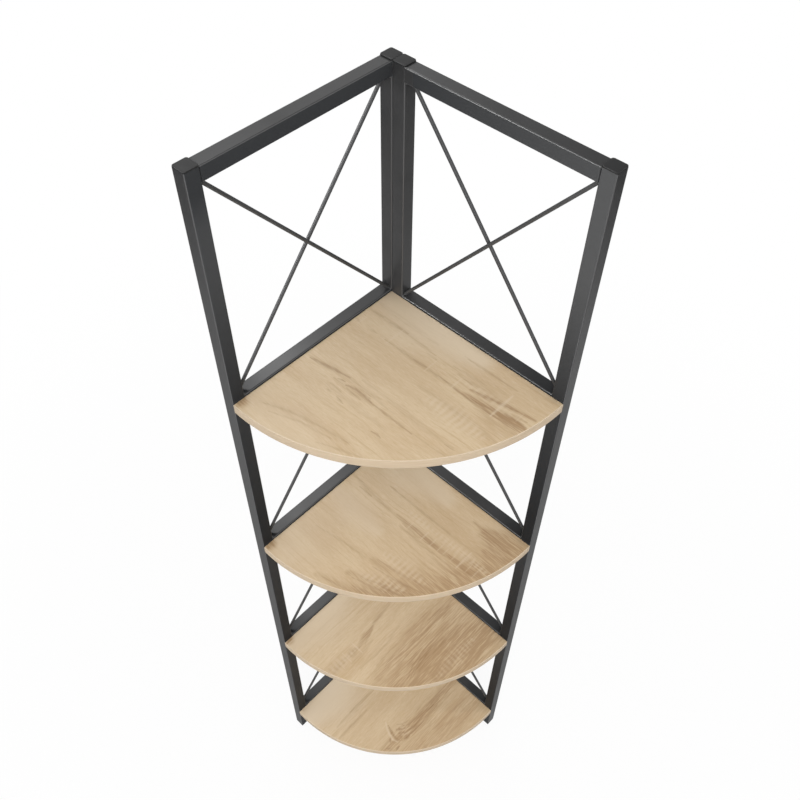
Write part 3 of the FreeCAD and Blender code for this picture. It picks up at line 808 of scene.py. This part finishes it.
# The marks of each leaf, drawn in millimetres from its back corner: points, half width and strength
# The pale strokes are painted sheen over the left of each board and painted light in a shaded back corner;
# the widest stains, along the right of each board, are partly painted shade.
LEAVES = {
    4: {"forwards": False, "depth": 0.42,
        "pale": [
            ([(-20, 270), (150, 276)], 80, 0.28), ([(-20, 6), (180, 14)], 90, 0.75)],
        "stains": [
            ([(200, 76), (232, 72), (262, 68), (300, 66)], 13, 0.95), ([(250, 70), (300, 68)], 15, 1.45),
            ([(252, 76), (296, 75)], 7, 1), ([(160, 75), (215, 77), (290, 77)], 5, 0.75),
            ([(204, 64), (232, 59), (258, 52), (298, 46)], 9, 0.95), ([(246, 54), (274, 49)], 6, 1.1),
            ([(266, 59), (292, 56)], 4.5, 0.55), ([(176, 54), (256, 47)], 16, 0.32),
            ([(60, 76), (176, 76)], 7, 0.45), ([(0, 47), (60, 46), (130, 50)], 8, 0.35),
            ([(160, 24), (250, 24)], 5, 0.28), ([(204, 40), (246, 38)], 7, 0.28),
            ([(150, 106), (230, 105), (288, 109)], 11, 0.35), ([(242, 104), (286, 109)], 10, 0.45),
            ([(230, 80), (310, 84)], 36, 0.45), ([(140, 153), (200, 153), (250, 152)], 9, 0.3),
            ([(10, 168), (40, 163), (130, 157)], 10, 0.36), ([(60, 173), (130, 171)], 10, 0.36),
            ([(90, 150), (170, 149), (230, 152)], 8, 0.3), ([(60, 186), (170, 190)], 12, 0.18),
            ([(20, 266), (80, 246), (150, 236)], 16, 0.22), ([(0, 30), (120, 33)], 10, 0.2),
            ([(0, 277), (5, 291)], 16, 1.2)],
        "lines": [
            ([(206, 78), (232, 73), (262, 68), (296, 64)], 3.6, 0.42),
            ([(212, 62), (246, 56), (272, 50)], 3.8, 0.46), ([(254, 72), (296, 71)], 6, 0.52),
            ([(186, 77), (226, 77), (292, 77)], 3.8, 0.46), ([(262, 64), (296, 63)], 4.6, 0.5),
            ([(113, 76), (136, 75)], 4, 0.42), ([(143, 76), (176, 75.5)], 3.8, 0.36),
            ([(82, 76), (104, 76)], 3.8, 0.26), ([(28, 76), (44, 76)], 3.8, 0.24),
            ([(0, 75), (12, 76)], 3.8, 0.28), ([(42, 47), (76, 46)], 4.2, 0.34),
            ([(4, 48), (30, 47)], 4.2, 0.2), ([(118, 55), (137, 55)], 3.8, 0.22),
            ([(186, 56), (210, 54)], 3.8, 0.24), ([(10, 170), (28, 167), (52, 162), (76, 158)], 4.2, 0.58),
            ([(64, 170), (76, 167)], 3.4, 0.48),
            ([(80, 171), (94, 167.5), (118, 168), (126, 170)], 4.2, 0.58),
            ([(80, 169), (96, 164), (122, 161), (160, 163)], 3, 0.22), ([(84, 174), (112, 176)], 3.4, 0.3),
            ([(122, 170), (150, 170), (178, 170.5), (198, 171)], 2.9, 0.42),
            ([(196, 170), (260, 168)], 2.8, 0.2), ([(62, 182), (84, 184)], 3.4, 0.24),
            ([(84, 193), (100, 196)], 3.4, 0.36), ([(66, 193), (76, 192)], 3, 0.26),
            ([(158, 203), (166, 201), (174, 203)], 3.6, 0.42),
            ([(24, 266), (60, 252), (110, 241), (150, 236)], 3.8, 0.2),
            ([(40, 270), (84, 254), (130, 246)], 3.8, 0.2), ([(120, 262), (150, 250), (176, 241)], 3.6, 0.2),
            ([(166, 25), (250, 23)], 3.4, 0.22), ([(160, 48), (215, 44)], 3.6, 0.2),
            ([(238, 154), (254, 153)], 3, 0.26)],
        "ticks": [
            ([(251, 34), (251, 80)], 5.6, 0.52), ([(66, 44), (66, 80)], 3.6, 0.3),
            ([(138, 56), (138, 82)], 3.4, 0.32), ([(183, 58), (183, 80)], 3.6, 0.34),
            ([(11, 62), (11, 80)], 3.4, 0.28), ([(280, 48), (280, 64)], 2.8, 0.3)],
        "sawn": [
            ([(178, 114), (262, 114)], 32, 0.46), ([(190, 60), (290, 56)], 16, 0.22)]},
    3: {"forwards": False, "depth": 0.5,
        "pale": [
            ([(-20, 240), (40, 280)], 110, 0.4), ([(0, 140), (110, 150)], 55, 0.45),
            ([(-10, 20), (150, 24)], 80, 0.6)],
        "stains": [
            ([(310, 20), (270, 180), (170, 260)], 120, 1.1), ([(240, 30), (320, 30)], 56, 1.15),
            ([(212, 28), (250, 26), (306, 28)], 8, 0.55), ([(262, 58), (312, 62)], 40, 0.95),
            ([(112, 105), (180, 105), (246, 104)], 12, 0.9), ([(224, 103), (262, 103), (298, 101)], 13, 1.45),
            ([(130, 116), (200, 118), (260, 121)], 10, 0.5), ([(0, 96), (60, 104), (130, 107)], 8, 0.4),
            ([(140, 192), (200, 186), (248, 174)], 22, 0.5), ([(130, 234), (190, 216), (234, 196)], 26, 0.6),
            ([(96, 270), (150, 256), (190, 236)], 22, 0.5), ([(60, 71), (250, 72)], 5, 0.36),
            ([(0, 278), (6, 292)], 16, 1.2)],
        "lines": [
            ([(28, 107), (56, 107)], 3.8, 0.36), ([(6, 95), (44, 101)], 3.6, 0.2),
            ([(64, 71), (86, 71)], 3.4, 0.3), ([(86, 71), (200, 72)], 3.2, 0.22),
            ([(140, 71), (162, 71)], 3.4, 0.24), ([(214, 29), (262, 27)], 4, 0.3),
            ([(256, 34), (304, 33)], 4.2, 0.26), ([(262, 48), (304, 46)], 4.2, 0.26),
            ([(130, 110), (168, 112)], 4, 0.24), ([(186, 108), (240, 107)], 4, 0.26),
            ([(200, 116), (256, 118)], 4, 0.28), ([(196, 124), (250, 124)], 3.8, 0.22),
            ([(252, 106), (292, 104)], 4.6, 0.36), ([(262, 98), (294, 97)], 4, 0.3),
            ([(150, 200), (196, 193), (238, 180)], 3.6, 0.34),
            ([(184, 216), (204, 211), (228, 202)], 4.2, 0.52),
            ([(160, 222), (196, 208), (230, 193)], 3.6, 0.34),
            ([(146, 186), (190, 180), (232, 170)], 3.6, 0.24),
            ([(140, 236), (176, 226), (208, 213)], 3.8, 0.3),
            ([(150, 246), (186, 234)], 3.8, 0.3), ([(30, 210), (90, 200), (140, 196)], 3.6, 0.18),
            ([(104, 268), (156, 254)], 3.8, 0.26)],
        "ticks": [
            ([(142, 96), (142, 112)], 3, 0.32), ([(172, 92), (172, 114)], 3, 0.42),
            ([(190, 92), (190, 112)], 3, 0.36), ([(205, 92), (205, 110)], 2.8, 0.34),
            ([(216, 92), (216, 108)], 2.6, 0.32), ([(232, 90), (232, 108)], 2.6, 0.32),
            ([(247, 74), (247, 112)], 4.6, 0.5), ([(262, 88), (262, 108)], 2.6, 0.32),
            ([(276, 88), (276, 108)], 2.6, 0.34)],
        "sawn": [
            ([(176, 86), (290, 86)], 18, 0.4), ([(120, 86), (180, 86)], 14, 0.4),
            ([(150, 170), (226, 166)], 26, 0.4), ([(150, 222), (215, 196)], 22, 0.4)]},
    2: {"forwards": True, "depth": 0.5,
        "pale": [
            ([(120, 0), (320, 10)], 95, 0.65)],
        "stains": [
            ([(-20, 262), (320, 240)], 140, 1.25), ([(-20, 178), (220, 176)], 60, 0.8),
            ([(90, 86), (130, 91), (160, 97)], 10, 0.55), ([(154, 97), (180, 103), (206, 109)], 13, 0.8),
            ([(208, 108), (232, 108)], 15, 0.6), ([(236, 107), (300, 106)], 15, 0.55),
            ([(40, 154), (120, 156), (206, 158)], 12, 0.5), ([(0, 178), (90, 177), (190, 182)], 12, 0.5),
            ([(60, 197), (150, 198), (210, 204)], 9, 0.5),
            ([(0, 210), (90, 211), (140, 215), (186, 226)], 15, 0.75),
            ([(0, 270), (60, 266), (110, 258)], 50, 0.5), ([(120, 136), (230, 142)], 14, 0.34),
            ([(176, 118), (236, 122)], 9, 0.36), ([(190, 176), (250, 180)], 10, 0.4),
            ([(278, 0), (294, 4)], 15, 1.2)],
        "lines": [
            ([(0, 201), (90, 201), (128, 203), (158, 208), (186, 218)], 3, 0.4),
            ([(0, 206), (84, 206), (130, 209), (160, 214), (184, 222)], 3, 0.46),
            ([(60, 211), (110, 211), (140, 214), (166, 219)], 3.2, 0.56),
            ([(0, 217), (70, 217), (130, 219), (160, 224)], 3, 0.4),
            ([(126, 212), (150, 216), (172, 221)], 3.6, 0.52), ([(0, 222), (96, 221)], 3, 0.28),
            ([(0, 196), (110, 197)], 3, 0.28), ([(160, 102), (178, 107), (192, 113)], 3.8, 0.26),
            ([(100, 90), (150, 94)], 4, 0.18), ([(90, 197), (206, 199)], 3.4, 0.24),
            ([(20, 177), (150, 179)], 3.6, 0.26), ([(60, 155), (196, 157)], 3.6, 0.22),
            ([(130, 141), (204, 144)], 3.4, 0.2), ([(10, 236), (110, 238)], 3.6, 0.24),
            ([(20, 256), (120, 254)], 3.8, 0.22), ([(10, 284), (70, 282)], 4.2, 0.22),
            ([(0, 168), (110, 170)], 3.4, 0.22), ([(150, 186), (230, 190)], 3.6, 0.24)],
        "ticks": [
            ([(207, 92), (207, 122)], 3.2, 0.5), ([(234, 94), (234, 120)], 3.4, 0.45),
            ([(252, 94), (252, 120)], 3, 0.36)],
        "sawn": [
            ([(216, 107), (300, 106)], 20, 0.42), ([(40, 256), (140, 256)], 28, 0.25)]},
    1: {"forwards": True, "depth": 0.5,
        "pale": [
            ([(130, 0), (320, 30)], 105, 0.9)],
        "stains": [
            ([(-20, 262), (320, 246)], 120, 0.6), ([(-20, 205), (120, 205), (240, 196)], 46, 0.85),
            ([(0, 202), (80, 203), (150, 206)], 15, 0.75), ([(100, 213), (140, 214), (176, 211)], 7, 0.85),
            ([(154, 210), (184, 210)], 12, 1.35), ([(158, 196), (172, 190), (178, 184)], 8, 0.95),
            ([(150, 205), (166, 201), (176, 194)], 7, 0.95),
            ([(182, 164), (187, 178), (190, 194), (186, 208)], 7, 1), ([(170, 186), (184, 208)], 16, 1.15),
            ([(196, 184), (206, 194)], 8, 0.8), ([(196, 213), (210, 214)], 8, 0.85),
            ([(212, 204), (221, 192)], 8, 0.75), ([(150, 186), (168, 176)], 8, 0.4),
            ([(140, 84), (262, 85)], 8, 0.4), ([(190, 105), (284, 107)], 10, 0.4),
            ([(0, 250), (90, 246), (150, 240)], 22, 0.36), ([(10, 286), (90, 278)], 18, 0.28),
            ([(0, 120), (60, 130)], 12, 0.25)],
        "lines": [
            ([(0, 195), (90, 196), (146, 196), (168, 184)], 3.2, 0.36),
            ([(0, 200), (80, 201), (120, 200), (150, 196)], 3.2, 0.36),
            ([(60, 205), (110, 205), (144, 206), (164, 202), (178, 193)], 3.4, 0.62),
            ([(70, 212), (130, 213), (158, 212), (176, 206)], 3.4, 0.6),
            ([(140, 190), (158, 184), (167, 177)], 3.4, 0.3), ([(160, 194), (170, 188), (176, 182)], 4, 0.55),
            ([(164, 212), (179, 209)], 6, 0.6), ([(182, 166), (188, 180), (190, 194), (187, 206)], 3.6, 0.28),
            ([(198, 186), (206, 193)], 4, 0.4), ([(198, 212), (208, 214)], 4.6, 0.5),
            ([(214, 203), (220, 195)], 4.4, 0.36), ([(146, 81), (250, 82)], 3, 0.28),
            ([(150, 90), (240, 91)], 3, 0.2), ([(206, 104), (276, 105)], 3.6, 0.24),
            ([(20, 246), (120, 242)], 3.8, 0.22), ([(30, 260), (120, 256)], 3.8, 0.18),
            ([(10, 280), (80, 276)], 3.8, 0.2)],
        "ticks": [
            ([(180, 155), (188, 166), (194, 180), (197, 192), (193, 204)], 4.4, 0.55),
            ([(150, 202), (164, 196), (176, 189)], 2.2, 0.4),
            ([(152, 209), (168, 205), (178, 199)], 2.2, 0.4)],
        "sawn": [
            ([(150, 178), (176, 206)], 16, 0.2)]}}
mark = grain_mark()
edging = pale_edging()
for number in SHELVES:
    low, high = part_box(f"shelf_board_{number}")
    piece = eased_copy(f"oak_shelf_{number}", f"shelf_board_{number}", BOARD_EASE)
    piece.data.materials.append(oak_paper(number, Vector((low.x, high.y)), **LEAVES[number]))
    piece.data.materials.append(edging)
    for face in piece.data.polygons:
        face.material_index = 0 if abs(face.normal.z) > LEVEL_FACE else 1
    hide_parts(f"shelf_board_{number}")
    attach(piece, "root")

# Edge bands. Strips of the paler edging glued round the curved front of each board, flush above and below,
# with their arrises scraped round and painted paler: partly the scraped trim, partly a painted highlight.
BAND_EASE = 0.00015
for number in SHELVES:
    piece = eased_copy(f"front_edging_{number}", f"shelf_edge_band_{number}", BAND_EASE)
    piece.data.materials.append(edging)
    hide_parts(f"shelf_edge_band_{number}")
    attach(piece, "root")

# Shelf screws. Zinc-plated steel with pan heads and a cross recess, driven up from below through the hole of
# every tab into the board.
SCREW_HEAD = 0.008
SCREW_HEIGHT = 0.0024
SCREW_RECESS = (0.0042, 0.0010, 0.0026)
SCREW_SEED = 4
SCREW_SHARP_TURN = math.radians(35)
CUTTING_BLOCK = (2.4, 2.4, 2)
TAB_HOLE_INSET = 0.011


def screw_tree():
    """A flattened dome hanging from every point, with a cross cut into it and its own turn."""
    tree = bpy.data.node_groups.new("pan_head", "GeometryNodeTree")
    given = sockets(tree, {"Places": "Geometry", "Radius": "Float", "Height": "Float", "Recess": "Vector",
                           "Seed": "Int", "Finish": "Material"}, "Screws")
    ball = node(tree, "GeometryNodeMeshUVSphere", {"Segments": 32, "Rings": 16, "Radius": 1})
    across = given["Radius"]
    size = node(tree, "ShaderNodeCombineXYZ", {"X": across, "Y": across, "Z": given["Height"]})
    dome = node(tree, "GeometryNodeTransform", {"Geometry": ball, "Scale": size})
    block = node(tree, "ShaderNodeVectorMath", {0: CUTTING_BLOCK, 1: given["Radius"]}, operation="MULTIPLY")
    half = moved_up(tree, node(tree, "GeometryNodeMeshCube", {"Size": block}), given["Radius"])
    bar = node(tree, "GeometryNodeMeshCube", {"Size": given["Recess"]})
    one = moved_up(tree, bar, sums(tree, "SUBTRACT", 0, given["Height"]))
    two = node(tree, "GeometryNodeTransform", {"Geometry": one, "Rotation": (0, 0, math.pi / 2)})
    cut = node(tree, "GeometryNodeMeshBoolean", {"Mesh 1": dome}, operation="DIFFERENCE", solver="EXACT")
    for piece in (half, one, two):
        feed(tree, cut, {"Mesh 2": piece})
    turn = node(tree, "ShaderNodeCombineXYZ", {"Z": chance(tree, 0, math.pi, given["Seed"])})
    set_out(tree, given["Places"], cut, turn, given["Finish"])
    return tree


places = [on_side(side, run, room + inwards * TAB_HOLE_INSET, under) for number in SHELVES
          for side, run, room, inwards, under in tab_middles(number)]
piece = grown("shelf_screws", screw_tree(), places, [], {
    "Radius": SCREW_HEAD / 2, "Height": SCREW_HEIGHT, "Recess": SCREW_RECESS, "Seed": SCREW_SEED,
    "Finish": zinc}, "zinc_plate")
for face in piece.data.polygons:
    face.use_smooth = True
piece.data.set_sharp_from_angle(angle=SCREW_SHARP_TURN)

# Stage. A pale floor that reads as the white of the picture, keeps a faint shadow and is open from below.
# Even light comes from all round and from one large soft box in front, and three small ones show only in the
# sheen. The camera stands above the front of the unit.
WHITE = (1, 1, 1, 1)
FLOOR_PAINT = (0.85, 0.85, 0.85, 1)
FLOOR_REACH = 6.0
EVEN_LIGHT = 0.71
CAMERA_PLACE = (0.5047, -0.5413, 2.0510)
CAMERA_TURN = (39.645, -0.451, 43.322)
CAMERA_LENS = 39.85
CAMERA_SENSOR = 36

# Rounds of light on the floor: middle, reach of the full light, reach of the last of it and strength
FLOOR_SHADOW = ((0, 0), 0.5, 2.0, 0.09)
FLOOR_POOLS = (((0, 0), 1.5, 2.4, 0.36), ((-0.6, -1.7), 0.3, 1.4, 0.50), ((1.2, 1.0), 0.3, 1.0, 0.18),
               ((1.5, -1.5), 0.9, 1.3, 0.54))
FLOOR_GLOW = 0.10

# Light of the walls in the sheen, from how far up it starts and ends to how strong it is there
WALL_LIGHT = (0.5, 0.85, 0.58, 0.22)


def seen_straight(tree):
    """1 for a ray that comes straight from the camera or through something."""
    path = node(tree, "ShaderNodeLightPath").outputs
    return sums(tree, "MAXIMUM", path["Is Camera Ray"], path["Is Transmission Ray"])


def seen_in_sheen(tree):
    """1 for a ray that a piece mirrors."""
    return node(tree, "ShaderNodeLightPath").outputs["Is Glossy Ray"]


def light_pool(tree, place, middle, full, end, strength):
    """The glow of a round of light on the floor, even out to one distance and gone at another."""
    inputs = {0: place, 1: (*middle, 0)}
    off = node(tree, "ShaderNodeVectorMath", inputs, operation="DISTANCE").outputs["Value"]
    return eased(tree, off, full, end, strength, 0)


def over(tree, amount, first, second):
    """One surface over another, by an amount from 0 to 1."""
    return node(tree, "ShaderNodeMixShader", {0: amount, 1: first, 2: second})


floor_mesh = bpy.data.meshes.new("floor")
corners = [(x * FLOOR_REACH, y * FLOOR_REACH, 0) for x, y in ((-1, -1), (1, -1), (1, 1), (-1, 1))]
floor_mesh.from_pydata(corners, [], [(0, 1, 2, 3)])
floor = bpy.data.objects.new("floor", floor_mesh)
bpy.context.collection.objects.link(floor)
floor_paint = bpy.data.materials.new("floor_paint")
floor_paint.use_nodes = True
tree = floor_paint.node_tree
tree.nodes.clear()
lit = node(tree, "ShaderNodeBsdfDiffuse", {"Color": FLOOR_PAINT})
white = node(tree, "ShaderNodeEmission", {"Color": WHITE, "Strength": 1})
place = node(tree, "ShaderNodeTexCoord").outputs["Object"]
glow = FLOOR_GLOW
for pool in FLOOR_POOLS:
    glow = sums(tree, "ADD", light_pool(tree, place, *pool), glow)
shine = node(tree, "ShaderNodeEmission", {"Color": WHITE, "Strength": glow})
pale = over(tree, light_pool(tree, place, *FLOOR_SHADOW), white, lit)
surface = over(tree, seen_straight(tree), lit, pale)
surface = over(tree, seen_in_sheen(tree), surface, shine)
open_below = node(tree, "ShaderNodeBsdfTransparent")
below = node(tree, "ShaderNodeNewGeometry").outputs["Backfacing"]
surface = over(tree, below, surface, open_below)
node(tree, "ShaderNodeOutputMaterial", {"Surface": surface})
floor_mesh.materials.append(floor_paint)

world = bpy.data.worlds.new("studio")
bpy.context.scene.world = world
world.use_nodes = True
tree = world.node_tree
tree.nodes.clear()
even = node(tree, "ShaderNodeBackground", {"Color": WHITE, "Strength": EVEN_LIGHT})
white = node(tree, "ShaderNodeBackground", {"Color": WHITE, "Strength": 1})
around = node(tree, "ShaderNodeTexCoord").outputs["Generated"]
upwards = node(tree, "ShaderNodeSeparateXYZ", {0: around}).outputs["Z"]
walls = node(tree, "ShaderNodeBackground", {"Color": WHITE, "Strength": ramp(tree, upwards, *WALL_LIGHT)})
surface = over(tree, seen_straight(tree), even, white)
surface = over(tree, seen_in_sheen(tree), surface, walls)
node(tree, "ShaderNodeOutputWorld", {"Surface": surface})


def soft_box(name, place, target, size, power, sheen):
    """A round lamp that either only lights the unit or only shows in its sheen."""
    light = bpy.data.lights.new(name, "AREA")
    light.shape = "DISK"
    light.size = size
    light.energy = power
    lamp = bpy.data.objects.new(name, light)
    lamp.location = place
    lamp.rotation_euler = (Vector(target) - Vector(place)).to_track_quat("-Z", "Y").to_euler()
    lamp.visible_diffuse = not sheen
    lamp.visible_glossy = sheen
    bpy.context.collection.objects.link(lamp)


soft_box("front_box", (3.9, -5.2, 4.6), (0, 0, 0.8), 5.0, 450, sheen=False)
soft_box("back_box", (-2.27, 1.13, 4.24), (0, 0, 1.1), 0.7, 31, sheen=True)
soft_box("corner_box", (-2.4, 2.5, 3.46), (0, 0, 1.5), 0.9, 2.4, sheen=True)
soft_box("edge_box", (-2.0, -2.9, 3.3), (0, 0, 1.2), 0.9, 120, sheen=True)

camera = bpy.data.cameras.new("camera")
camera.lens = CAMERA_LENS
camera.sensor_width = CAMERA_SENSOR
viewer = bpy.data.objects.new("camera", camera)
viewer.location = CAMERA_PLACE
viewer.rotation_euler = [math.radians(angle) for angle in CAMERA_TURN]
bpy.context.collection.objects.link(viewer)
bpy.context.scene.camera = viewer
bpy.context.scene.view_settings.view_transform = "Standard"
